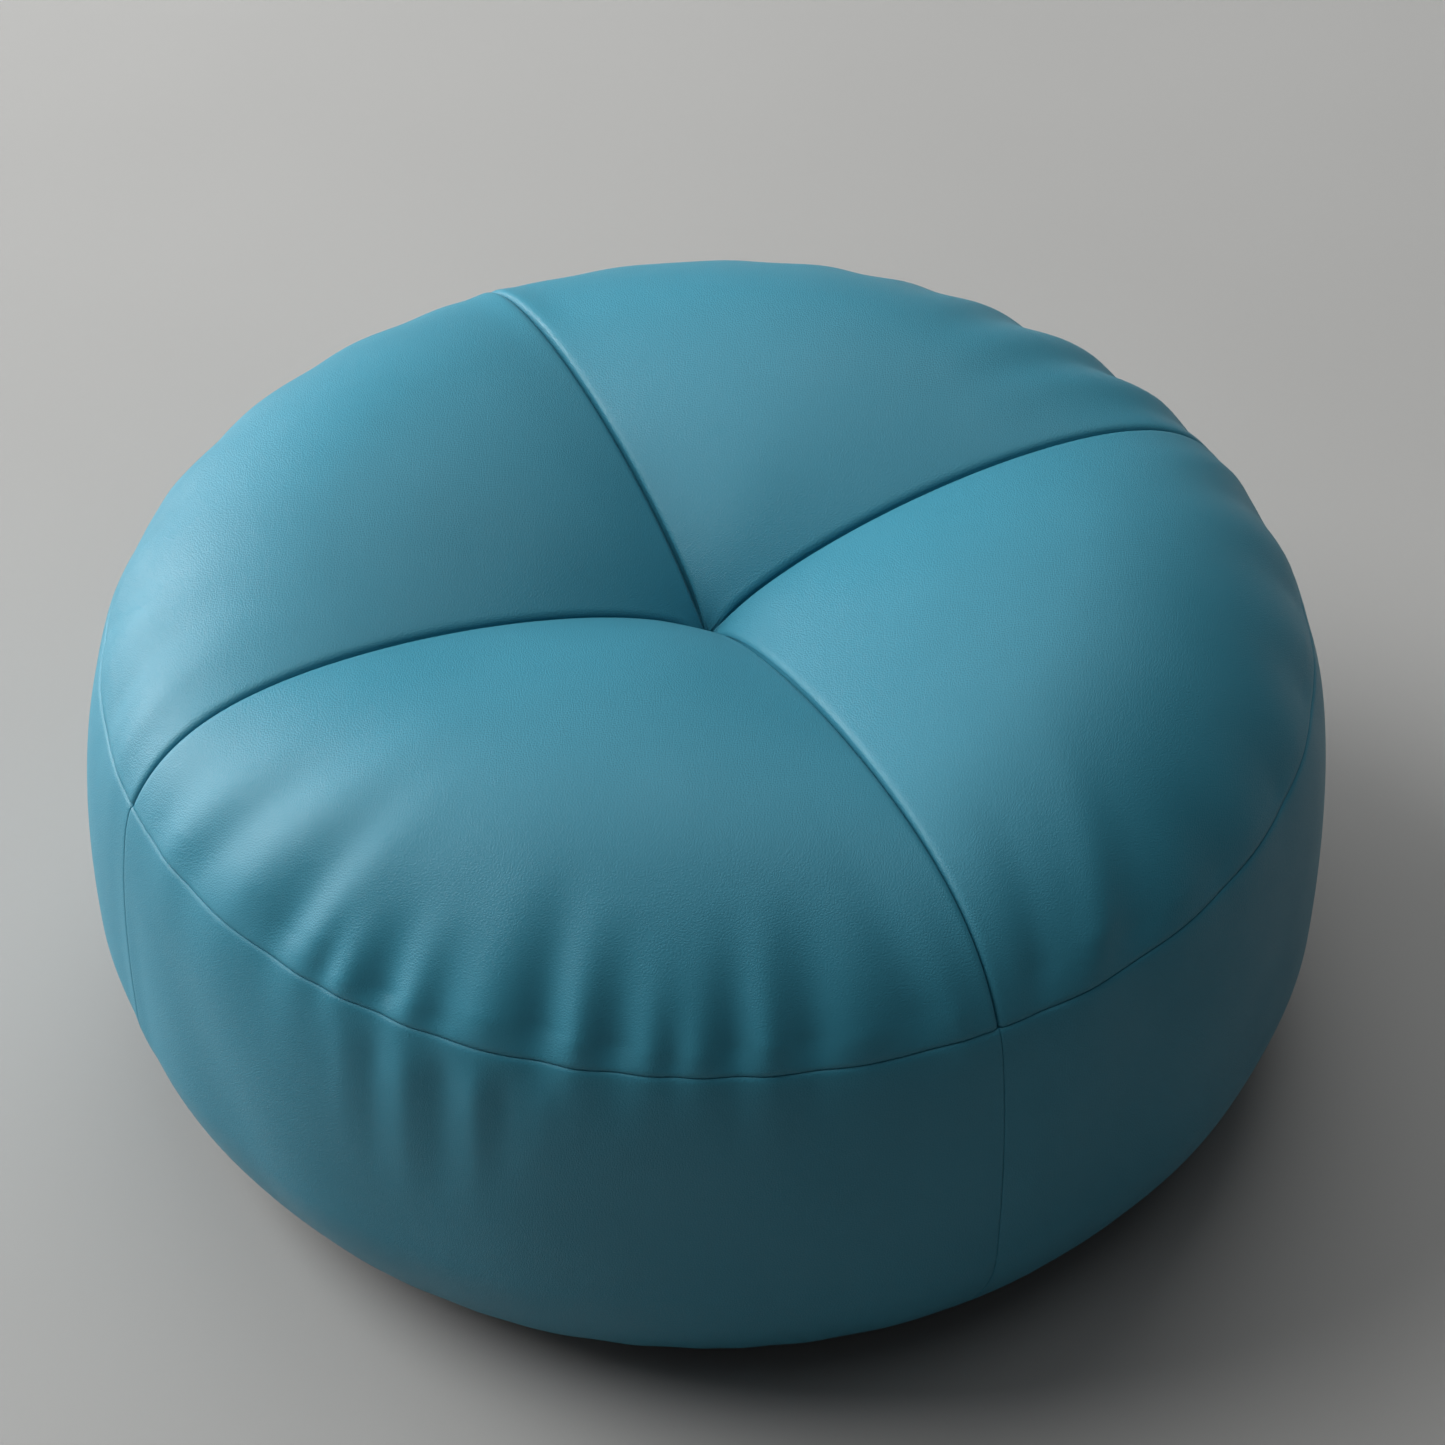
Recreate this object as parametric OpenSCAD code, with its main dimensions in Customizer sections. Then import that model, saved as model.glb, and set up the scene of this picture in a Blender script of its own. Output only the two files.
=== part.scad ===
// Round floor cushion, in millimetres.
// Four petal panels are drawn down to a tuft in the middle of the top. Four side panels close
// the band below the rim seam, and a grip-fabric base panel closes the bottom. A foam core in
// fibre wadding fills the cover, and a tie through the core holds the tuft down. A coil zip
// runs round the back half of the base seam, so that the cover comes off.
// The origin is the middle of the resting face and +Z is up. The zip faces +Y, and the radial
// seams lie in the planes X = 0 and Y = 0.

/* [Overall shape] */
// Widest diameter, at the belly
cushion_d = 500; // [460:5:560]
// Height of the crown, the highest ring of the top
crown_h = 240; // [225:1:255]
// Height of the tuft, where the four panel tips meet
tuft_h = 183; // [170:1:200]
// Height of the rim seam between the top and side panels
rim_h = 183; // [175:1:190]
// Height of the belly, the widest ring
belly_h = 73; // [66:1:84]
// How far the rim seam lies inside the widest diameter
rim_inset = 12; // [8:1:16]
// How far the flat resting face ends inside the widest diameter
foot_inset = 54; // [48:1:62]

/* [Cover] */
// Thickness of the leatherette and of the base fabric
cover_t = 1.2; // [0.9:0.1:1.3]
// Number of petals in the top, and of panels in the side band
panels = 4; // [4:1:4]
// Radius of the small hole that the panel tips leave for the tie
tip_r = 3; // [2.8:0.1:4]
// Where the base seam lies on the curve from the belly (0) to the foot (1)
base_seam_at = 0.6; // [0.58:0.01:0.64]

/* [Filling] */
// Depth from the outside of the cover to the foam core
core_depth = 24; // [20:1:28]
// Diameter of the hole through the core for the tie
tie_bore_d = 14; // [10:1:18]
// Diameter of the tie that holds the tuft down
tie_d = 5; // [4:0.5:5.5]
// Diameter of the anchor disc under the core
anchor_d = 42; // [36:1:50]
// Thickness of the anchor disc
anchor_t = 3; // [2:0.5:4]

/* [Zip] */
// Direction in which the zip starts, in degrees from +X
zip_from = 15; // [14:1:20]
// Arc of the zip, in degrees
zip_arc = 150; // [140:1:150]
// Half width of the gap between the cover edges where the chain shows
zip_gap = 5.2; // [5.1:0.1:6]
// Thickness of the zip tape
tape_t = 0.7; // [0.5:0.1:0.8]
// Width of each half of the tape
tape_w = 11.2; // [9:0.1:12]
// Width of one row of the coil
coil_w = 2.2; // [2:0.1:2.3]
// Height of the coil above the tape
coil_h = 2.45; // [2:0.05:2.5]
// Half of the slit between the two rows
slit = 0.8; // [0.7:0.05:0.9]
// Free space round the coil inside the slider
play = 0.4; // [0.35:0.05:0.45]

/* [Zip slider] */
// Length of the slider along the zip
slider_len = 12; // [11:0.5:13]
// Thickness of the slider's plates
plate_t = 1.3; // [1:0.1:1.5]
// Thickness of the flanges that guide the coil
flange_t = 1.0; // [0.9:0.1:1.2]
// Direction in which the closed slider rests, in degrees from +X
slider_at = 18.6; // [18.6:0.1:19]
// Length of the pull from its hinge
pull_len = 27; // [22:1:32]
// Width of the pull
pull_w = 6.4; // [6:0.2:8]
// Thickness of the pull
pull_t = 1.2; // [1:0.1:1.3]

/* [Hidden] */
$fn = 96;

leather_blue = [0.30, 0.54, 0.62];
side_blue = [0.22, 0.44, 0.52];
base_grey = [0.16, 0.20, 0.23];
wadding_white = [0.90, 0.91, 0.90];
foam_cream = [0.93, 0.87, 0.70];
tie_navy = [0.12, 0.20, 0.28];
anchor_clear = [0.80, 0.82, 0.82];
tape_blue = [0.10, 0.26, 0.33];
coil_blue = [0.07, 0.20, 0.27];
metal = [0.62, 0.63, 0.65];

// ---- Outline of the cushion, as half a section: [radius, height] ----
belly_r = cushion_d / 2;
rim_r = belly_r - rim_inset;
foot_r = belly_r - foot_inset;
crown_r = 0.572 * belly_r;
// Slope of the cover as it passes the rim seam, in degrees below level
rim_slope = 64;
rim_heading = [cos(rim_slope), -sin(rim_slope)];

// Each stretch is a cubic curve: start, two handles, end
TUFT_TO_CROWN = [
    [tip_r, tuft_h],
    [tip_r + 23, tuft_h + 26],
    [crown_r - 55, crown_h],
    [crown_r, crown_h]
];
CROWN_TO_RIM = [
    [crown_r, crown_h],
    [crown_r + 43, crown_h],
    [rim_r, rim_h] - 34 * rim_heading,
    [rim_r, rim_h]
];
RIM_TO_BELLY = [
    [rim_r, rim_h],
    [rim_r, rim_h] + 22 * rim_heading,
    [belly_r, belly_h + 37],
    [belly_r, belly_h]
];
BELLY_TO_FOOT = [
    [belly_r, belly_h],
    [belly_r, belly_h - 31],
    [foot_r + 26, 0],
    [foot_r, 0]
];
FOOT_TO_MIDDLE = [
    [foot_r, 0],
    [foot_r * 2 / 3, 0],
    [foot_r / 3, 0],
    [0, 0]
];
OUTLINE = [TUFT_TO_CROWN, CROWN_TO_RIM, RIM_TO_BELLY, BELLY_TO_FOOT, FOOT_TO_MIDDLE];

// Places on the outline: the whole part counts stretches, the rest is the way along one
at_tuft = 0;
at_rim = 2;
at_base_seam = 3 + base_seam_at;
at_middle = 5;
steps_per_stretch = 20;

function curve(p, t) =
    p[0] * pow(1 - t, 3) + p[1] * 3 * t * pow(1 - t, 2)
    + p[2] * 3 * t * t * (1 - t) + p[3] * pow(t, 3);
function curve_slope(p, t) =
    3 * ((p[1] - p[0]) * pow(1 - t, 2) + (p[2] - p[1]) * 2 * t * (1 - t) + (p[3] - p[2]) * t * t);
function stretch(s) = min(floor(s), len(OUTLINE) - 1);
function on_cover(s) = curve(OUTLINE[stretch(s)], s - stretch(s));
function travel(s) = curve_slope(OUTLINE[stretch(s)], s - stretch(s));
// Unit vector that points out of the cover
function outward(s) = [-travel(s)[1], travel(s)[0]] / norm(travel(s));
function below_cover(s, depth) = on_cover(s) - depth * outward(s);

// Area between two depths below the cover, from one place on the outline to another
module layer(from, to, outer, inner) {
    count = max(3, ceil((to - from) * steps_per_stretch));
    places = [for (i = [0:count]) from + (to - from) * i / count];
    back = [for (i = [count:-1:0]) places[i]];
    polygon(concat(
        [for (s = places) below_cover(s, outer)],
        [for (s = back) below_cover(s, inner)]
    ));
}

// ---- Frame of the zip: x points out of the cover and y up it, at the base seam ----
seam_point = on_cover(at_base_seam);
seam_tilt = atan2(outward(at_base_seam)[1], outward(at_base_seam)[0]);
// Outline parameter for one millimetre along the cover at the base seam
per_mm = 1 / norm(travel(at_base_seam));
// Depth of the tape's face below the face of the cover
tape_depth = cover_t + 0.15;
coil_low = -tape_depth;
coil_high = coil_low + coil_h;
coil_side = slit + coil_w;
tape_low = coil_low - tape_t;
stop_arc = 1;
coil_from = zip_from + 1.5;
coil_arc = zip_arc - 3;

module at_seam() {
    translate(seam_point) rotate(seam_tilt) children();
}

// The same frame in space, in direction az. Its z points along the zip, towards the closed end
module on_zip(az) {
    rotate([0, 0, az]) rotate([90, 0, 0]) translate(seam_point) rotate([0, 0, seam_tilt]) children();
}

module sweep(from, arc) {
    rotate([0, 0, from]) rotate_extrude(angle = arc) children();
}

// Space that the chain needs between the edges of the cover
module zip_opening() {
    sweep(zip_from, zip_arc) at_seam() translate([-2, -zip_gap]) square([4, 2 * zip_gap]);
}

// ---- Cover ----
module top_panel(i) {
    color(leather_blue)
        sweep(360 / panels * i, 360 / panels) layer(at_tuft, at_rim, 0, cover_t);
}

module side_panel(i) {
    color(side_blue) difference() {
        sweep(360 / panels * i, 360 / panels) layer(at_rim, at_base_seam, 0, cover_t);
        zip_opening();
    }
}

module base_panel() {
    color(base_grey) difference() {
        rotate_extrude() layer(at_base_seam, at_middle, 0, cover_t);
        zip_opening();
    }
}

// ---- Filling ----
// Groove in the wadding behind the zip, for the tape and the slider's inner plate
module zip_groove() {
    sweep(zip_from - 1, zip_arc + 2) at_seam() translate([-4.6, -7]) square([4, 14]);
}

module wadding() {
    color(wadding_white) difference() {
        rotate_extrude() layer(at_tuft, at_middle, cover_t, core_depth);
        translate([0, 0, core_depth - anchor_t]) cylinder(d = anchor_d, h = anchor_t + 1);
        zip_tape(-1);
        zip_tape(1);
        zip_groove();
    }
}

module foam_core() {
    count = steps_per_stretch * at_middle;
    skin = [for (i = [0:count]) below_cover(at_middle * i / count, core_depth)];
    color(foam_cream) difference() {
        rotate_extrude() polygon(concat([[0, skin[0][1]]], skin));
        cylinder(d = tie_bore_d, h = crown_h);
    }
}

module tuft_tie() {
    color(tie_navy) translate([0, 0, core_depth]) cylinder(d = tie_d, h = tuft_h - core_depth - 1);
}

module tie_anchor() {
    color(anchor_clear)
        translate([0, 0, core_depth - anchor_t]) cylinder(d = anchor_d, h = anchor_t);
}

// ---- Zip ----
// side is -1 for the half above the chain and 1 for the half below it
module zip_tape(side) {
    near = at_base_seam + side * slit * per_mm;
    far = near + side * tape_w * per_mm;
    color(tape_blue)
        sweep(zip_from, zip_arc) layer(min(near, far), max(near, far), tape_depth, tape_depth + tape_t);
}

module zip_coil(side) {
    color(coil_blue) sweep(coil_from, coil_arc) at_seam()
        translate([coil_low, side < 0 ? slit : -coil_side]) square([coil_h, coil_w]);
}

module zip_stop(az) {
    color(metal) sweep(az, stop_arc) at_seam()
        translate([coil_low, -coil_side]) square([coil_h + 0.3, 2 * coil_side]);
}

// Rounded plate in the y-z plane of the zip's frame, from height low to high
plate_half = coil_side + play + flange_t;
module slider_plate(low, high) {
    corner = 2;
    flat_y = plate_half - corner;
    flat_z = slider_len / 2 - corner;
    translate([low, 0, 0]) rotate([90, 0, 90]) linear_extrude(high - low) {
        square([2 * plate_half, 2 * flat_z], center = true);
        square([2 * flat_y, slider_len], center = true);
        for (y = [-1, 1], z = [-1, 1])
            translate([y * flat_y, z * flat_z]) circle(corner);
    }
}

upper_low = coil_high + play;
upper_high = upper_low + plate_t;
lower_high = tape_low - play;
lower_low = lower_high - plate_t;
// The pull's hinge line, above the upper plate
hinge_x = upper_high + 0.4 + pull_t / 2;
bridge_w = 2.2;
bridge_t = 0.9;
bridge_leg = 1.6;
bridge_reach = 3.6;
bridge_low = hinge_x + pull_t / 2 + 0.3;
arm_gap = 0.3;
arm_w = 1.0;
arm_start = bridge_w / 2 + arm_gap;
tab_from = 4.4;

module box(low, high) {
    translate(low) cube(high - low);
}

module zip_slider() {
    flange_low = coil_low + play;
    flange_in = coil_side + play;
    post_half = slit - play;
    color(metal) on_zip(slider_at) {
        slider_plate(upper_low, upper_high);
        slider_plate(lower_low, lower_high);
        for (y = [-plate_half, flange_in])
            box([flange_low, y, -slider_len / 3], [upper_low + 0.1, y + flange_t, slider_len / 3]);
        box([lower_high - 0.1, -post_half, 1.5], [upper_low + 0.1, post_half, 4.5]);
        for (z = [-bridge_reach, bridge_reach - bridge_leg])
            box([upper_high - 0.1, -bridge_w / 2, z], [bridge_low + 0.1, bridge_w / 2, z + bridge_leg]);
        box([bridge_low, -bridge_w / 2, -bridge_reach],
            [bridge_low + bridge_t, bridge_w / 2, bridge_reach]);
    }
}

module zip_pull() {
    pin_half = arm_start + arm_w;
    tab_round = pull_w / 2;
    slot_r = pull_w / 2 - 1.7;
    color(metal) on_zip(slider_at) translate([hinge_x, 0, 0]) difference() {
        union() {
            translate([0, pin_half, 0]) rotate([90, 0, 0]) cylinder(d = pull_t, h = 2 * pin_half);
            for (y = [-pin_half, arm_start])
                box([-pull_t / 2, y, -tab_from - 0.6], [pull_t / 2, y + arm_w, 0]);
            box([-pull_t / 2, -pull_w / 2, -pull_len + tab_round], [pull_t / 2, pull_w / 2, -tab_from]);
            translate([-pull_t / 2, 0, -pull_len + tab_round])
                rotate([0, 90, 0]) cylinder(r = tab_round, h = pull_t);
        }
        translate([-pull_t, 0, -pull_len + tab_round])
            rotate([0, 90, 0]) cylinder(r = slot_r, h = 2 * pull_t);
        box([-pull_t, -slot_r, -pull_len + tab_round], [pull_t, slot_r, -pull_len / 2]);
        translate([-pull_t, 0, -pull_len / 2])
            rotate([0, 90, 0]) cylinder(r = slot_r, h = 2 * pull_t);
    }
}

top_panel(0);  // top_panel_1
top_panel(1);  // top_panel_2
top_panel(2);  // top_panel_3
top_panel(3);  // top_panel_4
side_panel(0);  // side_panel_1
side_panel(1);  // side_panel_2
side_panel(2);  // side_panel_3
side_panel(3);  // side_panel_4
base_panel();
wadding();
foam_core();
tuft_tie();
tie_anchor();
zip_tape(-1);  // zip_tape_upper
zip_tape(1);  // zip_tape_lower
zip_coil(-1);  // zip_coil_upper
zip_coil(1);  // zip_coil_lower
zip_stop(coil_from - stop_arc);  // zip_stop_closed
zip_stop(coil_from + coil_arc);  // zip_stop_open
zip_slider();
zip_pull();
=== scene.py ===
"""Round leatherette floor cushion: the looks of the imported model.

The cover is made of four petals, four side panels and a base, each its own piece with a real
edge that turns under at its seams. Lengths are in metres, except where a name ends in _mm.
The radial seams lie along +X, +Y, -X and -Y. Directions are in degrees from +X.
"""

import math

import bpy
import numpy as np
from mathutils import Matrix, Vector


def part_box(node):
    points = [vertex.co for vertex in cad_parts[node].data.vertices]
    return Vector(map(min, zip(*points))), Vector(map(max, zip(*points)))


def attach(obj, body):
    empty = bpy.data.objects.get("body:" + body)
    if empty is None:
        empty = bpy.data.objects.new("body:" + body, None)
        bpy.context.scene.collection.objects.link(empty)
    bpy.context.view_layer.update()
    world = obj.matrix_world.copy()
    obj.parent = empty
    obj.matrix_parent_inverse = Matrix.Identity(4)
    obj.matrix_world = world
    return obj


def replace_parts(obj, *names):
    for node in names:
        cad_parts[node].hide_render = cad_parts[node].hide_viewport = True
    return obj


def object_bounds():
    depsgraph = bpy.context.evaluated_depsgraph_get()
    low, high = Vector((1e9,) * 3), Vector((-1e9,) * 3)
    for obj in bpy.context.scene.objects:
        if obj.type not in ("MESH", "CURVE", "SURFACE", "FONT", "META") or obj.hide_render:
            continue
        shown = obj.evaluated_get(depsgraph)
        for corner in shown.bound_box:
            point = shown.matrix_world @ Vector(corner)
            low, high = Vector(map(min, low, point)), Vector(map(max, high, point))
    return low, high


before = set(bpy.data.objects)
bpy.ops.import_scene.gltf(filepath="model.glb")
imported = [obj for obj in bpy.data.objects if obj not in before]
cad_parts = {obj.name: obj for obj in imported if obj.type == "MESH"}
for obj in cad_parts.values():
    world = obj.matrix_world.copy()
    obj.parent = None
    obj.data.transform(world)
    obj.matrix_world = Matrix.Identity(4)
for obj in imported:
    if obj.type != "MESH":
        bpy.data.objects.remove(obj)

MM = 0.001
CAD_LOW, CAD_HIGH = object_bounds()

# ---------------------------------------------------------------------------
# Sizes, from the frame
# ---------------------------------------------------------------------------
BELLY_R = (CAD_HIGH[0] - CAD_LOW[0]) / 2
CROWN_Z = CAD_HIGH[2]
RIM_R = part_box("top_panel_1")[1][0]
RIM_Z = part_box("side_panel_1")[1][2]
BELLY_Z = 0.304 * CROWN_Z
FOOT_R = BELLY_R - 54 * MM
SEAM_CROWN_Z = CROWN_Z - 16.5 * MM
PINCH_Z = RIM_Z - 6 * MM
CORE_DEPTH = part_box("foam_core")[0][2]
ANCHOR_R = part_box("tie_anchor")[1][0]
ANCHOR_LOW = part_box("tie_anchor")[0][2]
COVER_T = 1.2 * MM
RIM_SLOPE = math.radians(64)
DOT_H = 0.55 * MM
ZIP_FROM, ZIP_ARC = 15.0, 150.0
# Half of the opening between the cover's edges at the zip, in mm
ZIP_HALF_MM = 5.2
# Share of the turned-under edge that is left out where it lies flat on the zip's tape
ZIP_HEM_CUT = 0.87


# ---------------------------------------------------------------------------
# Outline of the cushion: cubic curves in (radius, height)
# ---------------------------------------------------------------------------
def curve(points, t):
    """Points of one cubic curve, for an array t from 0 to 1."""
    p = np.array(points, float)
    t = np.asarray(t, float)[..., None]
    return (
        p[0] * (1 - t) ** 3
        + 3 * p[1] * t * (1 - t) ** 2
        + 3 * p[2] * t * t * (1 - t)
        + p[3] * t**3
    )


def past_rim(length):
    """The point that many metres past the rim seam, along the cover's slope there."""
    return (RIM_R + length * math.cos(RIM_SLOPE), RIM_Z - length * math.sin(RIM_SLOPE))


def top_curves(start, rise, crown_r, crown_z):
    """Outline from the tuft over a crown to the rim. rise is the first curve's first handle."""
    return [
        [start, rise, (crown_r - 0.065, crown_z), (crown_r, crown_z)],
        [(crown_r, crown_z), (crown_r + 0.043, crown_z), past_rim(-0.034), (RIM_R, RIM_Z)],
    ]


# Places on an outline: 0 is the tuft, then one more at each of these, and 5 the base's middle
AT_CROWN, AT_RIM, AT_BELLY, AT_FOOT = 1, 2, 3, 4
AT_BASE_SEAM = AT_BELLY + 0.6
PINCH = (0.8 * MM, PINCH_Z)
CENTRE_R = 0.01 * MM
LOWER_PART = [
    [(RIM_R, RIM_Z), past_rim(0.022), (BELLY_R, BELLY_Z + 0.037), (BELLY_R, BELLY_Z)],
    [(BELLY_R, BELLY_Z), (BELLY_R, BELLY_Z - 0.031), (FOOT_R + 0.026, 0), (FOOT_R, 0)],
    [(FOOT_R, 0), (FOOT_R * 2 / 3, 0), (FOOT_R / 3, 0), (CENTRE_R, 0)],
]
MID_PETAL = top_curves(PINCH, (0.014, PINCH_Z + 0.029), 0.143, CROWN_Z) + LOWER_PART
AT_SEAM = top_curves(PINCH, (0.012, PINCH_Z + 0.022), 0.150, SEAM_CROWN_Z) + LOWER_PART
CORE_SHAPE = top_curves((0.003, RIM_Z), (0.026, RIM_Z + 0.026), 0.143, CROWN_Z) + LOWER_PART


def along(curves, places):
    """Points of a chain of curves. A place of 1.3 is 0.3 of the way along the second curve."""
    places = np.asarray(places, float)
    index = np.clip(np.floor(places).astype(int), 0, len(curves) - 1)
    out = np.zeros(places.shape + (2,))
    for i, c in enumerate(curves):
        here = index == i
        out[here] = curve(c, places[here] - i)
    return out


# Frame of the base seam, where the zip is: out of the cover, and up along it
SEAM_POINT = along(AT_SEAM, AT_BASE_SEAM)
SEAM_TRAVEL = (along(AT_SEAM, AT_BASE_SEAM + 1e-4) - along(AT_SEAM, AT_BASE_SEAM - 1e-4)) / 2e-4
SEAM_UP = -SEAM_TRAVEL / np.linalg.norm(SEAM_TRAVEL)
SEAM_OUT = np.array([SEAM_UP[1], -SEAM_UP[0]])
PLACE_PER_MM = MM / np.linalg.norm(SEAM_TRAVEL)


def below(curves, places, depth):
    """Points that lie a depth inside a chain of curves."""
    places = np.asarray(places, float)
    travel = along(curves, places + 1e-4) - along(curves, places - 1e-4)
    travel /= np.linalg.norm(travel, axis=-1, keepdims=True)
    outward = np.stack([-travel[..., 1], travel[..., 0]], axis=-1)
    return along(curves, places) - outward * np.asarray(depth)[..., None]


def round_axis(direction, section):
    """Points at a direction about the vertical axis, from radii and heights."""
    a = np.radians(direction)
    radius, height = section[..., 0], section[..., 1]
    return np.stack([radius * np.cos(a), radius * np.sin(a), height + 0 * a], axis=-1)


def cover(direction, place):
    """Smooth surface of the cover. Its top is highest midway between the radial seams."""
    crown = np.abs(np.sin(np.radians(2 * direction))) ** 0.85
    low, high = along(AT_SEAM, place), along(MID_PETAL, place)
    return round_axis(direction, low + (high - low) * crown[..., None])


def outward_normals(direction, place):
    """Unit normals of the smooth cover."""
    e = 1e-4
    sideways = cover(direction + e, place) - cover(direction - e, place)
    onward = cover(direction, place + e) - cover(direction, place - e)
    n = np.cross(onward, sideways)
    return n / np.linalg.norm(n, axis=-1, keepdims=True)


# ---------------------------------------------------------------------------
# Small shapes that the pieces share
# ---------------------------------------------------------------------------
def lip(distance, width, depth):
    """How far the cover drops as it rounds into a seam: a quarter of an ellipse."""
    x = np.clip(distance / width, 0, 1)
    return depth * (1 - np.sqrt(np.maximum(0, 1 - (1 - x) ** 2)))


def bell(x):
    return np.exp(-(x * x))


def smooth_step(x):
    x = np.clip(x, 0, 1)
    return x * x * (3 - 2 * x)


def turn(a, b):
    """The shortest way from direction b to direction a, in degrees."""
    return (a - b + 180) % 360 - 180


def seam_distance_mm(direction, points):
    """Distance from the nearest radial seam, in mm."""
    radius = np.hypot(points[..., 0], points[..., 1]) / MM
    return radius * np.abs(np.sin(np.radians((direction + 45) % 90 - 45)))


def zip_open(direction):
    """1 where the cover's edges stand apart at the zip, 0 elsewhere, with a short ramp."""
    inside = ZIP_ARC / 2 - np.abs(turn(direction, ZIP_FROM + ZIP_ARC / 2))
    return smooth_step(inside + 0.8)


# Folds of the cover at the rim seam: direction, height in mm (a valley is below 0), reach up
# the petal in mm, half width in degrees, and lean in degrees for each 100 mm of the way up
FRONT_FOLDS = [
    (184.8, -0.4, 60, 1.4, 3),
    (188.4, 2.0, 90, 2.0, 5),
    (192.2, -0.7, 110, 1.6, 7),
    (197.6, 2.8, 135, 2.8, 7),
    (203.6, -2.4, 80, 1.8, 6),
    (206.9, 1.9, 110, 2.0, 6),
    (209.2, -1.3, 42, 0.9, 3),
    (211.6, 2.2, 46, 1.2, 2),
    (215.3, -4.2, 56, 1.7, 2),
    (218.2, 1.9, 56, 1.4, 1),
    (221.2, -1.7, 44, 1.4, 0),
    (225.4, 2.9, 78, 2.2, 0),
    (230.3, -4.4, 78, 1.6, 0),
    (233.5, 2.7, 62, 1.3, 0),
    (236.9, -4.0, 60, 1.5, 0),
    (239.8, 1.5, 56, 1.2, 0),
    (241.8, -1.5, 30, 0.8, 0),
    (243.9, 1.9, 52, 1.1, 0),
    (247.0, -3.3, 64, 1.2, 0),
    (249.9, 2.6, 70, 1.2, 0),
    (253.8, -3.2, 70, 1.5, 0),
    (258.0, 2.0, 64, 2.0, 0),
    (263.6, -2.2, 90, 1.7, -4),
    (266.8, 1.4, 60, 1.0, -3),
]
RIGHT_FOLDS = [
    (274.2, -2.8, 95, 1.7, 6),
    (279.2, 3.0, 110, 2.2, 13),
    (285.0, -1.8, 70, 2.4, 8),
    (291.0, 1.3, 70, 2.6, 4),
    (297.0, -1.1, 50, 2.0, 0),
    (303.0, 0.9, 54, 2.4, 0),
    (309.5, -1.2, 50, 2.0, 0),
    (316.0, 1.0, 60, 2.4, 0),
    (323.0, -1.3, 54, 2.2, 0),
    (330.0, 1.2, 64, 2.6, -4),
    (337.0, -1.5, 70, 2.2, -4),
    (343.5, 1.5, 90, 2.4, -5),
    (350.0, -1.8, 80, 2.0, -5),
    (355.5, 1.5, 90, 1.8, -3),
]
BACK_FOLDS = [
    (3.0, -1.2, 90, 1.4, 2),
    (7.5, 2.2, 130, 2.2, 3),
    (12.8, -2.8, 130, 2.0, 3),
    (18.6, 2.4, 125, 2.4, 3),
    (24.4, -3.0, 115, 2.2, 3),
    (30.4, 2.0, 100, 2.4, 2),
    (36.0, -1.8, 80, 1.8, 0),
    (40.6, 1.4, 80, 1.8, 0),
    (45.2, -2.4, 74, 1.8, 0),
    (50.6, 1.7, 80, 2.4, 0),
    (56.8, -2.2, 66, 2.0, 0),
    (62.0, 1.2, 60, 2.0, 0),
    (68.0, -1.4, 54, 2.0, 0),
    (74.5, 1.1, 60, 2.4, 0),
    (81.0, -1.3, 54, 1.8, -2),
    (86.0, 0.9, 50, 1.4, -2),
]
LEFT_FOLDS = [
    (95.0, 1.1, 60, 1.8, 2),
    (101.0, -1.4, 56, 1.8, 2),
    (107.5, 1.1, 60, 2.2, 0),
    (114.0, -1.3, 54, 2.0, 0),
    (121.0, 0.9, 56, 2.4, 0),
    (128.0, -1.2, 52, 2.0, 0),
    (135.0, 1.0, 60, 2.4, 0),
    (142.5, -1.3, 56, 2.0, 0),
    (149.5, 1.2, 64, 2.4, 0),
    (156.5, -1.3, 60, 2.0, -3),
    (163.0, 1.2, 80, 2.2, -5),
    (169.5, -1.5, 80, 1.8, -6),
    (175.5, 1.3, 90, 1.6, -5),
]
FOLDS = FRONT_FOLDS + RIGHT_FOLDS + BACK_FOLDS + LEFT_FOLDS
# Share of a fold's height at the rim seam itself, the same on both sides of the seam
AT_RIM_SHARE = 0.30
# Puckers of the side band under the rim seam, without a lean
BAND_PUCKERS = [
    (212.6, 0.9, 70, 1.2),
    (215.6, -1.2, 80, 1.1),
    (218.8, 1.7, 90, 1.4),
    (222.2, -1.7, 80, 1.3),
    (225.3, 1.4, 76, 1.0),
    (227.8, -1.2, 60, 1.0),
    (231.0, 0.9, 50, 1.2),
]


def slack(direction, up_mm):
    """How far the cover sags over the fill, in mm, up_mm above the rim seam along the cover."""
    most = 3.4 * bell(turn(direction, 96) / 55) + 1.2 * bell(turn(direction, 30) / 30)
    return most * bell((up_mm - 60) / 50)


def petal_folds(direction, up_mm):
    """Height of the gathers on a petal, in mm, up_mm above the rim seam along the cover."""
    total = np.zeros(np.broadcast(direction, up_mm).shape)
    for centre, height, reach, width, lean in FOLDS:
        x = np.clip(up_mm / reach, 0, 1.5)
        rise = np.clip(AT_RIM_SHARE + x * 4.5, 0, 1) * np.clip(1 - x, 0, 1) ** 1.4
        middle = centre + lean * up_mm / 100
        total += height * rise * bell(turn(direction, middle) / (width * (1 + 0.8 * x)))
    return total - slack(direction, up_mm)


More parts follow.
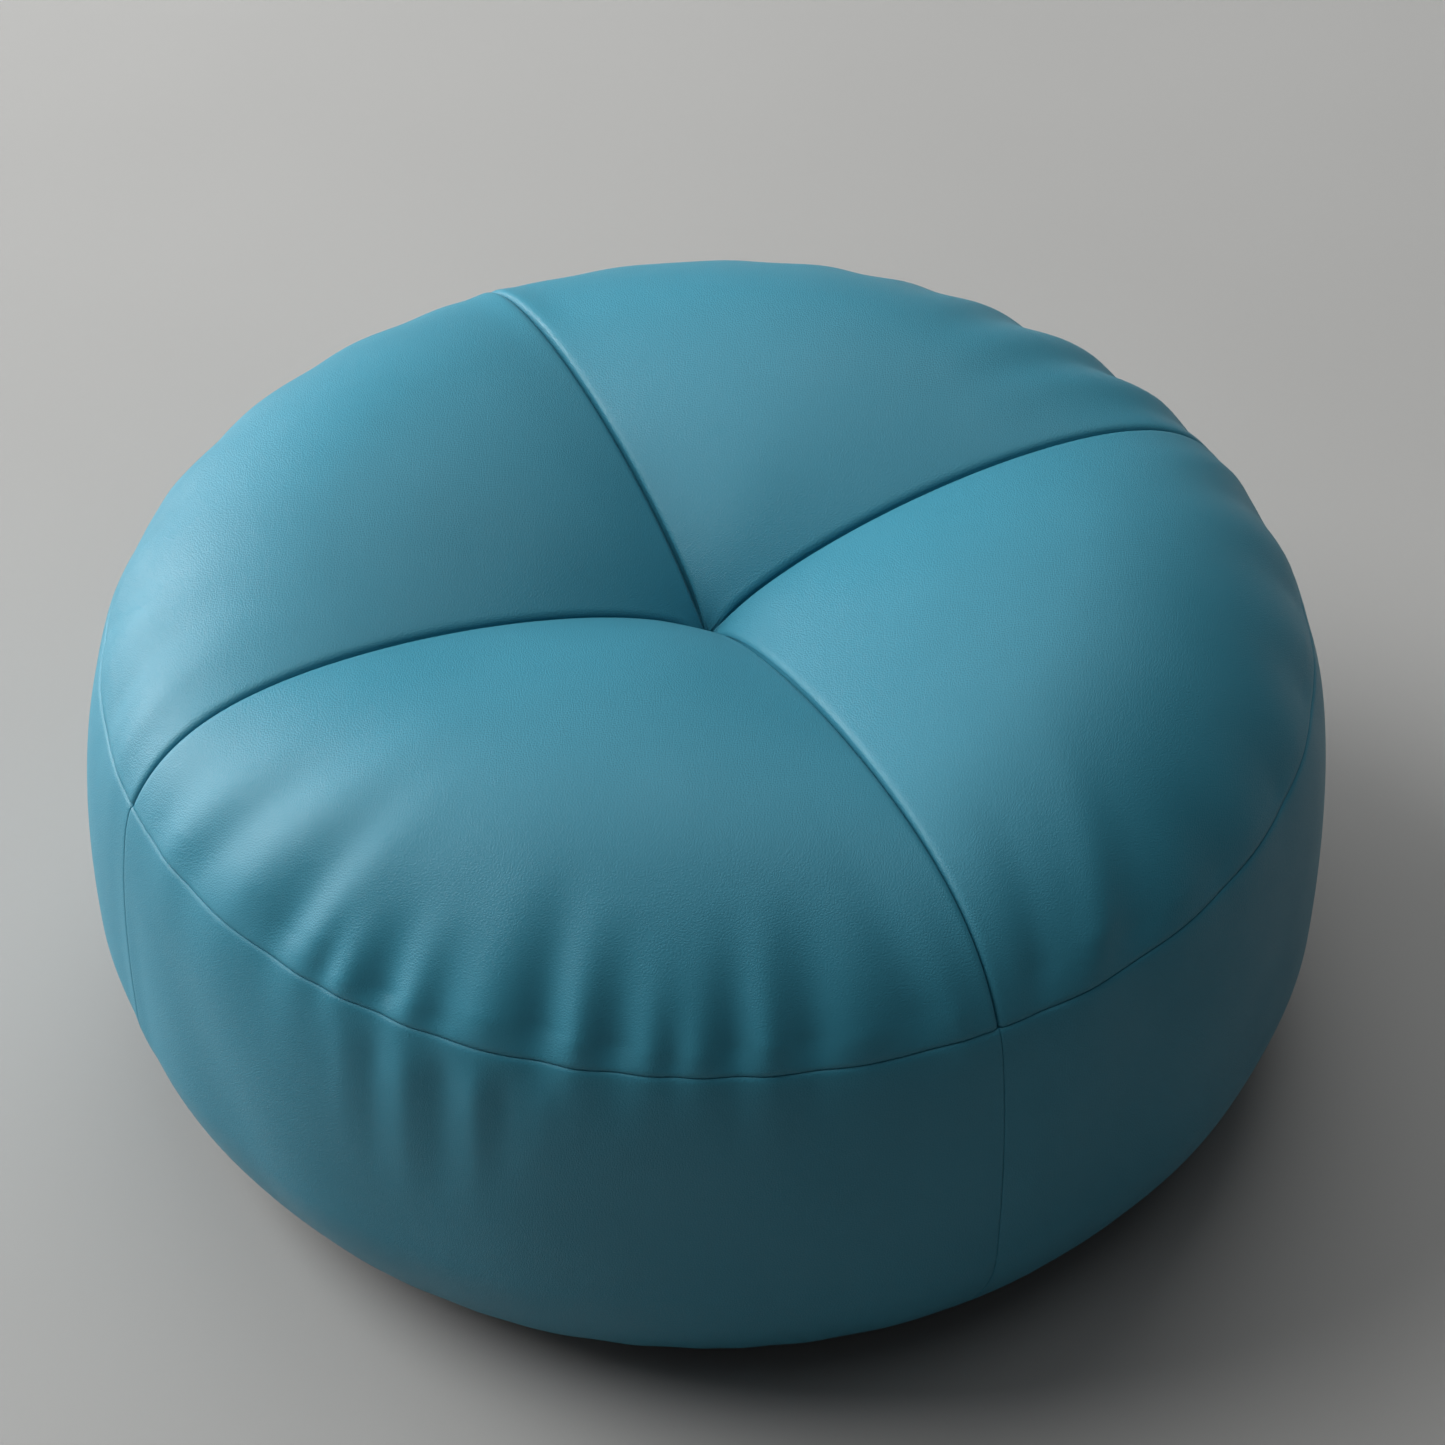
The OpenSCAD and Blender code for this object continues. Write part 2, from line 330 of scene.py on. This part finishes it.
def band_folds(direction, down_mm, length_mm):
    """Height of the puckers at both seams of the side band, and of its soft waves, in mm."""
    total = np.zeros(np.broadcast(direction, down_mm).shape)
    up_mm = length_mm - down_mm
    share_down = np.clip(down_mm / length_mm, 0, 1)
    for centre, height, reach, width, _ in FOLDS:
        top = np.clip(1 - down_mm / (0.6 * reach), 0, 1) ** 1.5
        spread = width * (1 + down_mm / 90)
        total += AT_RIM_SHARE * height * top * bell(turn(direction, centre) / spread)
    for centre, height, reach, width in BAND_PUCKERS:
        rise = smooth_step(down_mm / 22) * np.clip(1 - down_mm / reach, 0, 1)
        total += height * rise * bell(turn(direction, centre) / width)
    middle = np.sin(np.pi * share_down)
    for waves, height, phase in ((7, 0.9, 20), (11, 0.7, 75), (17, 0.4, 140)):
        total += height * middle * np.sin(np.radians(waves * direction + phase))
    foot = base_edge(direction) * np.clip(1 - up_mm / 50, 0, 1) ** 1.5
    sag = 1.6 * bell(turn(direction, 230) / 55) * np.sin(np.pi * share_down**2)
    slanting = 1.7 * middle * bell(turn(direction, 187 + down_mm / 9) / 6)
    return total + foot - sag - slanting - slack(direction, -down_mm)


def base_edge(direction):
    """Height of the puckers at the base seam, in mm. The zip holds its stretch nearly straight."""
    total = np.zeros(np.shape(direction))
    for centre, height, _, width, _ in FOLDS:
        total += 0.08 * height * bell(turn(direction, centre + 4) / (width * 1.5))
    return total * (1 - 0.85 * zip_open(direction))


# ---------------------------------------------------------------------------
# Mesh helpers
# ---------------------------------------------------------------------------
def grid_faces(rows, columns, wrap_rows=False, wrap_columns=False):
    """Quads of a grid of points. Their outer side is right for rows that run down the cover."""
    index = np.arange(rows * columns).reshape(rows, columns)
    if wrap_columns:
        index = np.concatenate([index, index[:, :1]], axis=1)
    if wrap_rows:
        index = np.concatenate([index, index[:1]], axis=0)
    a, b = index[:-1, :-1], index[:-1, 1:]
    c, d = index[1:, 1:], index[1:, :-1]
    return np.stack([a, d, c, b], axis=-1).reshape(-1, 4)


def mesh_object(name, points, faces, material, smooth=True):
    mesh = bpy.data.meshes.new(name)
    mesh.from_pydata(np.asarray(points).reshape(-1, 3).tolist(), [], np.asarray(faces).tolist())
    mesh.update()
    mesh.polygons.foreach_set("use_smooth", [smooth] * len(mesh.polygons))
    mesh.materials.append(material)
    obj = bpy.data.objects.new(name, mesh)
    bpy.context.scene.collection.objects.link(obj)
    return obj


def thicken(obj, thickness):
    """Give a sheet its thickness, inward from its outer face."""
    m = obj.modifiers.new("thickness", "SOLIDIFY")
    m.thickness = thickness
    m.offset = -1.0


def round_edges(obj, width):
    m = obj.modifiers.new("round_edges", "BEVEL")
    m.width = width
    m.segments = 3
    m.limit_method = "ANGLE"
    m.angle_limit = math.radians(30)


# ---------------------------------------------------------------------------
# Materials
# ---------------------------------------------------------------------------
class Nodes:
    """Short forms for building a material's nodes."""

    def __init__(self, name):
        self.material = bpy.data.materials.new(name)
        self.material.use_nodes = True
        self.tree = self.material.node_tree
        self.shader = self.tree.nodes["Principled BSDF"]
        self.place = self.add("ShaderNodeTexCoord").outputs["Object"]

    def add(self, kind, **settings):
        node = self.tree.nodes.new(kind)
        for key, value in settings.items():
            setattr(node, key, value)
        return node

    def link(self, output, socket):
        self.tree.links.new(output, socket)

    def noise(self, scale, detail=3.0, rough=0.5):
        node = self.add("ShaderNodeTexNoise")
        node.inputs["Scale"].default_value = scale
        node.inputs["Detail"].default_value = detail
        node.inputs["Roughness"].default_value = rough
        self.link(self.place, node.inputs["Vector"])
        return node.outputs["Fac"]

    def ramp(self, value, low, high, from_low=0.3, from_high=0.7):
        node = self.add("ShaderNodeMapRange")
        node.inputs["From Min"].default_value = from_low
        node.inputs["From Max"].default_value = from_high
        node.inputs["To Min"].default_value = low
        node.inputs["To Max"].default_value = high
        self.link(value, node.inputs["Value"])
        return node.outputs["Result"]

    def mix(self, factor, a, b):
        node = self.add("ShaderNodeMix", data_type="RGBA")
        self.link(factor, node.inputs["Factor"])
        node.inputs["A"].default_value = (*a, 1)
        node.inputs["B"].default_value = (*b, 1)
        return node.outputs["Result"]

    def bump(self, height, strength, distance, below=None):
        node = self.add("ShaderNodeBump")
        node.inputs["Strength"].default_value = strength
        node.inputs["Distance"].default_value = distance
        self.link(height, node.inputs["Height"])
        if below is not None:
            self.link(below, node.inputs["Normal"])
        return node.outputs["Normal"]

    def set(self, **values):
        for name, value in values.items():
            self.shader.inputs[name.replace("_", " ")].default_value = value


def leatherette(name, low, high):
    """Smooth coated leatherette: fine pebble grain, faint cloudiness, satin sheen."""
    n = Nodes(name)
    cloud = n.noise(9.0, 3.0, 0.55)
    n.link(n.mix(n.ramp(cloud, 0, 1), low, high), n.shader.inputs["Base Color"])
    n.link(n.ramp(n.noise(22.0, 4.0), 0.44, 0.53), n.shader.inputs["Roughness"])
    grain = n.add("ShaderNodeTexVoronoi", feature="DISTANCE_TO_EDGE")
    grain.inputs["Scale"].default_value = 950.0
    n.link(n.place, grain.inputs["Vector"])
    pebble = n.ramp(grain.outputs["Distance"], 0, 1, 0.0, 0.25)
    creased = n.bump(n.noise(60.0, 5.0, 0.6), 0.10, 0.6 * MM)
    n.link(n.bump(pebble, 0.55, 0.12 * MM, creased), n.shader.inputs["Normal"])
    n.set(Specular_IOR_Level=0.33, Sheen_Weight=0.03, Sheen_Roughness=0.4)
    return n.material


def woven(name, low, high, threads_per_m, rough=0.8):
    """Plain weave of two sets of threads, for the base, the tape and the tie."""
    n = Nodes(name)
    n.link(n.mix(n.ramp(n.noise(40.0), 0, 1), low, high), n.shader.inputs["Base Color"])
    n.link(n.ramp(n.noise(90.0), rough - 0.06, rough + 0.06), n.shader.inputs["Roughness"])
    waves = []
    for direction in ("X", "Y"):
        wave = n.add("ShaderNodeTexWave", wave_type="BANDS", bands_direction=direction)
        wave.inputs["Scale"].default_value = threads_per_m / 20
        wave.inputs["Distortion"].default_value = 0.4
        n.link(n.place, wave.inputs["Vector"])
        waves.append(wave.outputs["Fac"])
    cross = n.add("ShaderNodeMath", operation="MULTIPLY")
    n.link(waves[0], cross.inputs[0])
    n.link(waves[1], cross.inputs[1])
    n.link(n.bump(cross.outputs["Value"], 0.5, 0.25 * MM), n.shader.inputs["Normal"])
    n.set(Sheen_Weight=0.25, Sheen_Roughness=0.5)
    return n.material


def soft_fill(name, low, high, scale, depth_mm):
    """Fibre wadding or open-cell foam."""
    n = Nodes(name)
    n.link(n.mix(n.ramp(n.noise(30.0, 6.0), 0, 1), low, high), n.shader.inputs["Base Color"])
    n.link(n.ramp(n.noise(50.0), 0.85, 0.98), n.shader.inputs["Roughness"])
    n.link(n.bump(n.noise(scale, 8.0, 0.7), 0.8, depth_mm * MM), n.shader.inputs["Normal"])
    n.set(Sheen_Weight=0.3)
    return n.material


def plastic(name, low, high, rough):
    n = Nodes(name)
    n.link(n.mix(n.ramp(n.noise(70.0), 0, 1), low, high), n.shader.inputs["Base Color"])
    n.link(n.ramp(n.noise(160.0), rough - 0.05, rough + 0.06), n.shader.inputs["Roughness"])
    n.link(n.bump(n.noise(900.0), 0.1, 0.05 * MM), n.shader.inputs["Normal"])
    return n.material


def plated_metal(name, low, high):
    """Plated die-cast metal with fine scratches and duller worn patches."""
    n = Nodes(name)
    n.link(n.mix(n.ramp(n.noise(300.0), 0, 1), low, high), n.shader.inputs["Base Color"])
    n.link(n.ramp(n.noise(500.0, 5.0), 0.22, 0.42), n.shader.inputs["Roughness"])
    n.link(n.bump(n.noise(1800.0, 4.0), 0.12, 0.04 * MM), n.shader.inputs["Normal"])
    n.set(Metallic=1.0)
    return n.material


LEATHER = leatherette("leatherette", (0.028, 0.205, 0.292), (0.036, 0.228, 0.322))
BASE_CLOTH = woven("base_cloth", (0.012, 0.040, 0.055), (0.020, 0.058, 0.075), 1400)
TAPE_CLOTH = woven("tape_cloth", (0.006, 0.040, 0.060), (0.010, 0.058, 0.080), 2600)
TIE_BRAID = woven("tie_braid", (0.012, 0.030, 0.045), (0.022, 0.050, 0.070), 2200)
WADDING = soft_fill("wadding_fibre", (0.80, 0.81, 0.80), (0.90, 0.90, 0.89), 260.0, 1.4)
FOAM = soft_fill("foam_cells", (0.80, 0.70, 0.46), (0.88, 0.79, 0.56), 900.0, 0.5)
RUBBER = plastic("rubber_dot", (0.020, 0.030, 0.036), (0.032, 0.045, 0.052), 0.6)
ANCHOR = plastic("anchor_nylon", (0.60, 0.63, 0.63), (0.68, 0.70, 0.70), 0.4)
COIL = plastic("coil_nylon", (0.008, 0.042, 0.060), (0.014, 0.060, 0.085), 0.35)
METAL = plated_metal("plated_metal", (0.36, 0.37, 0.39), (0.48, 0.49, 0.51))


# ---------------------------------------------------------------------------
# Grids of the cover
# ---------------------------------------------------------------------------
SEAM_STEPS_MM = (0, 0.25, 0.6, 1.1, 1.8, 2.7, 4.0, 6.0)
FLAP_MM = (6.0, 3.0)
SEAM_ROUND_MM, SEAM_DROP_MM = 3.2, 1.9
RIM_ROUND_MM, RIM_DROP_MM = 2.4, 0.9
SIDE_ROUND_MM, SIDE_DROP_MM = 1.8, 0.35
HALF_GAP = 0.08 * MM
# How far in from the base seam its puckers fade out
EDGE_FADE_MM = 22


def crowded(count, span_mm, at_start=True, at_end=True):
    """Steps from 0 to 1 that crowd together at the seamed ends of a span."""
    near = np.array(SEAM_STEPS_MM) / span_mm
    first = near if at_start else near[:1]
    last = 1 - near[::-1] if at_end else np.ones(1)
    return np.concatenate([first[:-1], np.linspace(first[-1], last[0], count), last[1:]])


def with_flap(steps, at_start=True, at_end=True):
    """Steps with two more at each seamed end for its turned-under edge, and their depths."""
    flap = np.array(FLAP_MM)
    depth = np.zeros(len(steps))
    if at_start:
        steps = np.concatenate([steps[:1], steps[:1], steps])
        depth = np.concatenate([flap, depth])
    if at_end:
        steps = np.concatenate([steps, steps[-1:], steps[-1:]])
        depth = np.concatenate([depth, flap[::-1]])
    return steps, depth


def rows_to_end_mm(points):
    """Distance down each column to the last row, in mm."""
    steps = np.linalg.norm(np.diff(points, axis=0), axis=2)[::-1]
    total = np.concatenate([np.zeros((1, points.shape[1])), np.cumsum(steps, axis=0)])
    return total[::-1] / MM


def petal_height(direction, points, to_rim):
    """Height of a petal's folds and seam lips over the smooth surface, in mm."""
    radius_mm = np.hypot(points[..., 0], points[..., 1]) / MM
    to_seam = seam_distance_mm(direction, points)
    away = 1 - bell(to_seam / 9)
    height = petal_folds(direction, to_rim) * (0.35 + 0.65 * away) * np.clip(radius_mm / 40, 0, 1)
    height -= lip(to_seam, SEAM_ROUND_MM, SEAM_DROP_MM) * np.clip(radius_mm / 12, 0.1, 1)
    return height - lip(to_rim, RIM_ROUND_MM, RIM_DROP_MM)


def side_height(direction, points, to_rim, to_base):
    """Height of a side panel's puckers and seam lips, in mm."""
    to_seam = seam_distance_mm(direction, points)
    height = band_folds(direction, to_rim, to_rim + to_base) * (1 - 0.65 * bell(to_seam / 9))
    height -= 0.7 * bell(to_seam / 14) * smooth_step(to_rim / 30) * smooth_step(to_base / 30)
    height -= lip(to_seam, SIDE_ROUND_MM, SIDE_DROP_MM)
    for distance in (to_rim, to_base):
        height -= lip(distance, RIM_ROUND_MM, RIM_DROP_MM)
    return height


def panel(name, index, direction, place, height_mm, flap_mm, lift=0.0):
    """A piece of the cover from its grid. It just clears the panels beside it."""
    height = (height_mm - flap_mm) * MM
    points = cover(direction, place) + outward_normals(direction, place) * height[..., None]
    points += round_axis(90 * index + 45.0, np.array([HALF_GAP * math.sqrt(2), lift]))
    obj = mesh_object(name, points, grid_faces(*place.shape), LEATHER)
    thicken(obj, COVER_T)
    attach(obj, "cushion")
    return obj


def petal(index):
    """One petal of the top, from the tuft to the rim seam."""
    across, side_flap = with_flap(crowded(150, 250.0))
    outer = AT_CROWN + crowded(75, 110.0, at_start=False)
    down, rim_flap = with_flap(np.concatenate([np.linspace(0, 1, 80)[:-1], outer]), at_start=False)
    place, share = np.meshgrid(down, across, indexing="ij")
    direction = 90 * (index + share)
    points = cover(direction, place)
    height = petal_height(direction, points, rows_to_end_mm(points))
    flap = np.maximum(rim_flap[:, None], side_flap[None, :])
    obj = panel(f"petal_{index + 1}", index, direction, place, height, flap, lift=HALF_GAP)
    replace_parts(obj, f"top_panel_{index + 1}")


def side(index):
    """One side panel, from the rim seam to the base seam or the edge of the zip."""
    across, side_flap = with_flap(crowded(150, 385.0))
    down, end_flap = with_flap(crowded(100, 190.0))
    down, share = np.meshgrid(down, across, indexing="ij")
    direction = 90 * (index + share)
    opened = zip_open(direction)
    length = AT_BASE_SEAM - AT_RIM - opened * ZIP_HALF_MM * PLACE_PER_MM
    place = AT_RIM + down * length
    points = cover(direction, place)
    to_base = rows_to_end_mm(points)
    height = side_height(direction, points, to_base.max(axis=0) - to_base, to_base)
    hem = 1 - ZIP_HEM_CUT * opened * (down > 0.5)
    flap = np.maximum(end_flap[:, None], side_flap[None, :]) * hem
    obj = panel(f"side_{index + 1}", index, direction, place, height, flap)
    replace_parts(obj, f"side_panel_{index + 1}")


def base():
    """The base, which lies flat on its rubber dots and turns up to the base seam."""
    turned_up = crowded(34, 60.0, at_end=False)
    down, seam_flap = with_flap(np.concatenate([turned_up, np.linspace(1, 2, 25)[1:]]), at_end=False)
    down, direction = np.meshgrid(down, np.arange(0, 360, 0.5), indexing="ij")
    opened = zip_open(direction)
    start = AT_BASE_SEAM + opened * ZIP_HALF_MM * PLACE_PER_MM
    place = np.where(down < 1, start + (AT_FOOT - start) * down, AT_BELLY + down)
    points = cover(direction, place)
    to_seam = rows_to_end_mm(points[::-1])[::-1]
    hem = seam_flap[:, None] * (1 - ZIP_HEM_CUT * opened)
    height = -lip(to_seam, RIM_ROUND_MM, RIM_DROP_MM) - hem
    height += base_edge(direction) * (1 - smooth_step(to_seam / EDGE_FADE_MM))
    height -= DOT_H / MM * smooth_step(to_seam / 40)
    points += outward_normals(direction, place) * (height * MM)[..., None]
    obj = mesh_object("base", points, grid_faces(*place.shape, wrap_columns=True), BASE_CLOTH)
    thicken(obj, COVER_T)
    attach(obj, "cushion")
    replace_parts(obj, "base_panel")


def rubber_dots():
    """Low rubber dots in a hexagonal pattern over the flat of the base."""
    pitch, radius = 10.0 * MM, 1.6 * MM
    outline = np.array([(radius, 0.9 * MM), (0.95 * radius, 0.2 * MM), (0.7 * radius, 0), (CENTRE_R, 0)])
    steps, around = np.meshgrid(np.arange(len(outline)), np.arange(0, 360, 30.0), indexing="ij")
    dot = round_axis(around, outline[steps])
    faces = grid_faces(*steps.shape, wrap_columns=True)
    points, quads = [], []
    rows = int(FOOT_R / (pitch * 0.866))
    for row in range(-rows, rows + 1):
        y = row * pitch * 0.866
        shift = 0.5 * pitch * (row % 2)
        columns = int(FOOT_R / pitch) + 1
        for column in range(-columns, columns + 1):
            x = column * pitch + shift
            if math.hypot(x, y) > FOOT_R - 4 * MM:
                continue
            quads.append(faces + dot.shape[0] * dot.shape[1] * len(points))
            points.append(dot.reshape(-1, 3) + np.array([x, y, 0]))
    obj = mesh_object("rubber_dots", np.concatenate(points), np.concatenate(quads), RUBBER)
    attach(obj, "cushion")


# ---------------------------------------------------------------------------
# Filling and tie
# ---------------------------------------------------------------------------
# The wadding's depth under the cover, and how much deeper it lies at a seam and at the zip
WADDING_DEPTH_MM, SEAM_GROOVE_MM, ZIP_GROOVE_MM = 3.4, 7.5, 5.6
GROOVE_HALF_MM = 3.4


def wadding_folds(direction, place, to_end, rim, foot):
    """The cover's folds over the wadding, in mm. rim and foot are the seams' own to_end."""
    above = petal_folds(direction, np.abs(to_end - rim))
    band = band_folds(direction, np.clip(rim - to_end, 0, rim - foot), rim - foot)
    under = base_edge(direction) * (1 - smooth_step((foot - to_end) / EDGE_FADE_MM))
    below_rim = np.where(place < AT_BASE_SEAM, band, np.where(place < AT_FOOT, under, 0))
    return np.where(place < AT_RIM, above, below_rim)


def wadding():
    """Fibre between the cover and the foam, with room for the seams, the zip and the tie."""
    near = 0.12
    start, last = 0.06, 4.99
    places = np.concatenate([
        np.linspace(start, AT_RIM, 80),
        np.linspace(AT_RIM, AT_BASE_SEAM - near, 50),
        np.linspace(AT_BASE_SEAM - near, AT_BASE_SEAM + near, 26),
        np.linspace(AT_BASE_SEAM + near, last, 40),
    ])
    place, direction = np.meshgrid(places, np.arange(0, 360, 1.0), indexing="ij")
    points = cover(direction, place)
    to_end = rows_to_end_mm(points)
    rim = to_end[np.argmin(np.abs(places - AT_RIM))]
    foot = to_end[np.argmin(np.abs(places - AT_BASE_SEAM))]
    depth = WADDING_DEPTH_MM - np.minimum(wadding_folds(direction, place, to_end, rim, foot), 0)
    to_seam = seam_distance_mm(direction, points)
    depth += SEAM_GROOVE_MM * bell(to_seam / GROOVE_HALF_MM) * (place < AT_BASE_SEAM)
    for seam in (rim, foot):
        groove = SEAM_GROOVE_MM * bell((to_end - seam) / GROOVE_HALF_MM)
        depth = np.maximum(depth, WADDING_DEPTH_MM + groove)
    zip_groove = ZIP_GROOVE_MM * smooth_step((9.5 - np.abs(to_end - foot)) / 3)
    depth = np.maximum(depth, zip_groove * zip_open(direction))
    lumps = np.sin(np.radians(5 * direction)) * np.sin(7 * place) + np.sin(np.radians(13 * direction))
    outer = points - outward_normals(direction, place) * ((depth + 0.25 * lumps) * MM)[..., None]
    inner_place = np.linspace(last, 0, 70)
    section = below(CORE_SHAPE, inner_place, np.full(70, CORE_DEPTH - 0.3 * MM))
    recess = (inner_place > AT_FOOT) & (section[:, 0] < ANCHOR_R + 2.5 * MM)
    section[recess, 1] = ANCHOR_LOW - 0.3 * MM
    inner = round_axis(direction[:1], section[:, None, :])
    grid = np.concatenate([outer, inner])
    faces = grid_faces(*grid.shape[:2], wrap_rows=True, wrap_columns=True)
    obj = mesh_object("fibre_wadding", grid, faces, WADDING)
    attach(obj, "cushion")
    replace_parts(obj, "wadding")


def tube_mesh(path, radius, sides):
    """Points and faces of a tube along a path, with its ends left open."""
    along_path = np.gradient(path, axis=0)
    along_path /= np.linalg.norm(along_path, axis=1, keepdims=True)
    reference = np.where(np.abs(along_path[:, 2:]) > 0.9, [[1.0, 0, 0]], [[0, 0, 1.0]])
    first = np.cross(along_path, reference)
    first /= np.linalg.norm(first, axis=1, keepdims=True)
    second = np.cross(along_path, first)
    angles = np.arange(sides) * 2 * np.pi / sides
    ring = first[:, None] * np.cos(angles)[None, :, None]
    ring = ring + second[:, None] * np.sin(angles)[None, :, None]
    return path[:, None] + radius * ring, grid_faces(len(path), sides, wrap_columns=True)


def tuft_cord():
    """Three twisted strands from the anchor up to the tips of the petals."""
    low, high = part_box("tuft_tie")[0][2], PINCH_Z - 7 * MM
    steps = np.linspace(0, 1, 260)
    points, faces, count = [], [], 0
    for strand in range(3):
        angle = 2 * np.pi * (11 * steps + strand / 3)
        reach = 1.15 * MM * (1 - 0.5 * smooth_step((steps - 0.96) / 0.04))
        path = np.stack([reach * np.cos(angle), reach * np.sin(angle), low + (high - low) * steps], 1)
        ring, quads = tube_mesh(path, 1.05 * MM, 8)
        points.append(ring.reshape(-1, 3))
        faces.append(quads + count)
        count += len(points[-1])
    obj = mesh_object("tuft_cord", np.concatenate(points), np.concatenate(faces), TIE_BRAID)
    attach(obj, "cushion")
    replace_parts(obj, "tuft_tie")


# ---------------------------------------------------------------------------
# Zip
# ---------------------------------------------------------------------------
TAPE_DEPTH_MM, TAPE_T_MM, TAPE_W_MM, SLIT_MM = 1.35, 0.7, 11.2, 0.8


def zip_point(direction, out_mm, up_mm):
    """A point by the base seam, that far out of the cover and that far up along it."""
    offset = np.asarray(out_mm)[..., None] * SEAM_OUT + np.asarray(up_mm)[..., None] * SEAM_UP
    return round_axis(direction, SEAM_POINT + offset * MM)


def zip_tape(name, side):
    """Half of the tape, a ribbed weave. side is 1 for the half above the chain, -1 below."""
    across = np.linspace(SLIT_MM, SLIT_MM + TAPE_W_MM, 22)
    direction = np.linspace(ZIP_FROM, ZIP_FROM + ZIP_ARC, 1400)
    up, direction = np.meshgrid(across if side < 0 else across[::-1], direction, indexing="ij")
    rib = 0.07 * np.abs(np.sin(np.pi * up / 1.1)) * np.abs(np.sin(np.radians(direction) * 480))
    place = AT_BASE_SEAM - side * up * PLACE_PER_MM
    face = cover(direction, place)
    n = outward_normals(direction, place)
    outer = face - n * ((TAPE_DEPTH_MM + 0.08 - rib) * MM)[..., None]
    inner = face - n * ((TAPE_DEPTH_MM + TAPE_T_MM) * MM)
    grid = np.concatenate([outer, inner[::-1]])
    faces = grid_faces(*grid.shape[:2], wrap_rows=True)
    obj = mesh_object(name, grid, faces, TAPE_CLOTH)
    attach(obj, "cushion")
    return obj


def zip_coil(name, side):
    """One row of the coil: a nylon filament wound flat, sewn along the edge of its tape."""
    start, arc, pitch_mm, wire_mm = ZIP_FROM + 1.6, ZIP_ARC - 3.2, 1.6, 0.36
    turns = int(math.radians(arc) * SEAM_POINT[0] / MM / pitch_mm)
    share = np.linspace(0, 1, turns * 12)
    wind = 2 * np.pi * (turns * share + (0.25 if side > 0 else -0.25))
    out = -0.12 + (1.22 - wire_mm) * np.sin(wind)
    up = side * (1.75 + (1.25 - wire_mm) * np.cos(wind))
    path = zip_point(start + arc * share, out, up)
    ring, faces = tube_mesh(path, wire_mm * MM, 6)
    obj = mesh_object(name, ring, faces, COIL)
    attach(obj, "cushion")
    return obj


def finish_node(node, material, edge_mm):
    """A procedural material and rounded edges on a node carried over from the CAD."""
    obj = bpy.data.objects[node]
    obj.data.materials.clear()
    obj.data.materials.append(material)
    round_edges(obj, edge_mm * MM)


for i in range(4):
    petal(i)
    side(i)
base()
rubber_dots()
wadding()
tuft_cord()
for row, side_of_chain in (("upper", 1), ("lower", -1)):
    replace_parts(zip_tape(f"tape_{row}", side_of_chain), f"zip_tape_{row}")
    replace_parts(zip_coil(f"coil_{row}", side_of_chain), f"zip_coil_{row}")
for node in ("zip_stop_closed", "zip_stop_open", "zip_slider", "zip_pull"):
    finish_node(node, METAL, 0.18)
finish_node("tie_anchor", ANCHOR, 0.4)
finish_node("foam_core", FOAM, 1.5)


# ---------------------------------------------------------------------------
# Studio: floor, light and camera
# ---------------------------------------------------------------------------
LOOK_DIRECTION = 64.6
ELEVATION = 42.85
DISTANCE = 5.5 * BELLY_R
LENS = 83.6
SHIFT = (0.0106, 0.0247)


def toward(direction, elevation):
    a, e = math.radians(direction), math.radians(elevation)
    return np.array([math.cos(a) * math.cos(e), math.sin(a) * math.cos(e), math.sin(e)])


def aim(obj, target):
    way = Vector(target) - obj.location
    obj.rotation_euler = way.to_track_quat("-Z", "Y").to_euler()


def make_camera():
    data = bpy.data.cameras.new("camera")
    camera = bpy.data.objects.new("camera", data)
    bpy.context.scene.collection.objects.link(camera)
    target = (0, 0, 0.45 * BELLY_R)
    camera.location = np.array(target) - toward(LOOK_DIRECTION, -ELEVATION) * DISTANCE
    aim(camera, target)
    data.lens = LENS
    data.sensor_width = 36
    data.shift_x, data.shift_y = SHIFT
    bpy.context.scene.camera = camera


def area_light(name, direction, elevation, distance, size, power, colour=(1, 1, 1)):
    data = bpy.data.lights.new(name, "AREA")
    data.shape = "DISK"
    data.size = size
    data.energy = power
    data.color = colour
    light = bpy.data.objects.new(name, data)
    bpy.context.scene.collection.objects.link(light)
    target = (0, 0, 0.1)
    light.location = np.array(target) + toward(direction, elevation) * distance
    aim(light, target)


def make_floor():
    n = Nodes("floor")
    n.link(n.mix(n.ramp(n.noise(1.5), 0, 1), (0.345, 0.345, 0.340), (0.375, 0.375, 0.370)),
           n.shader.inputs["Base Color"])
    n.set(Roughness=0.9)
    half = 30.0
    corners = [(-half, -half, 0), (half, -half, 0), (half, half, 0), (-half, half, 0)]
    floor = mesh_object("floor", np.array(corners), [(0, 1, 2, 3)], n.material, smooth=False)


def make_light():
    """Windows at the viewer's left and behind, soft light straight down, and a dim room."""
    behind, distance = LOOK_DIRECTION, 4.0
    warm = (1.0, 0.99, 0.97)
    area_light("window_low", behind + 60, 12, distance, 3.4, 226)
    area_light("window_high", behind + 80, 44, distance, 2.7, 104, warm)
    area_light("back_high", behind, 56, distance, 3.6, 58, warm)
    overhead = bpy.data.lights.new("overhead", "SUN")
    overhead.energy = 0.32
    overhead.angle = math.radians(50)
    bpy.context.scene.collection.objects.link(bpy.data.objects.new("overhead", overhead))
    world = bpy.data.worlds.new("room")
    bpy.context.scene.world = world
    world.use_nodes = True
    background = world.node_tree.nodes["Background"]
    background.inputs["Color"].default_value = (0.93, 0.96, 1.0, 1)
    background.inputs["Strength"].default_value = 0.055


make_camera()
make_light()
make_floor()
bpy.context.scene.view_settings.view_transform = "Standard"
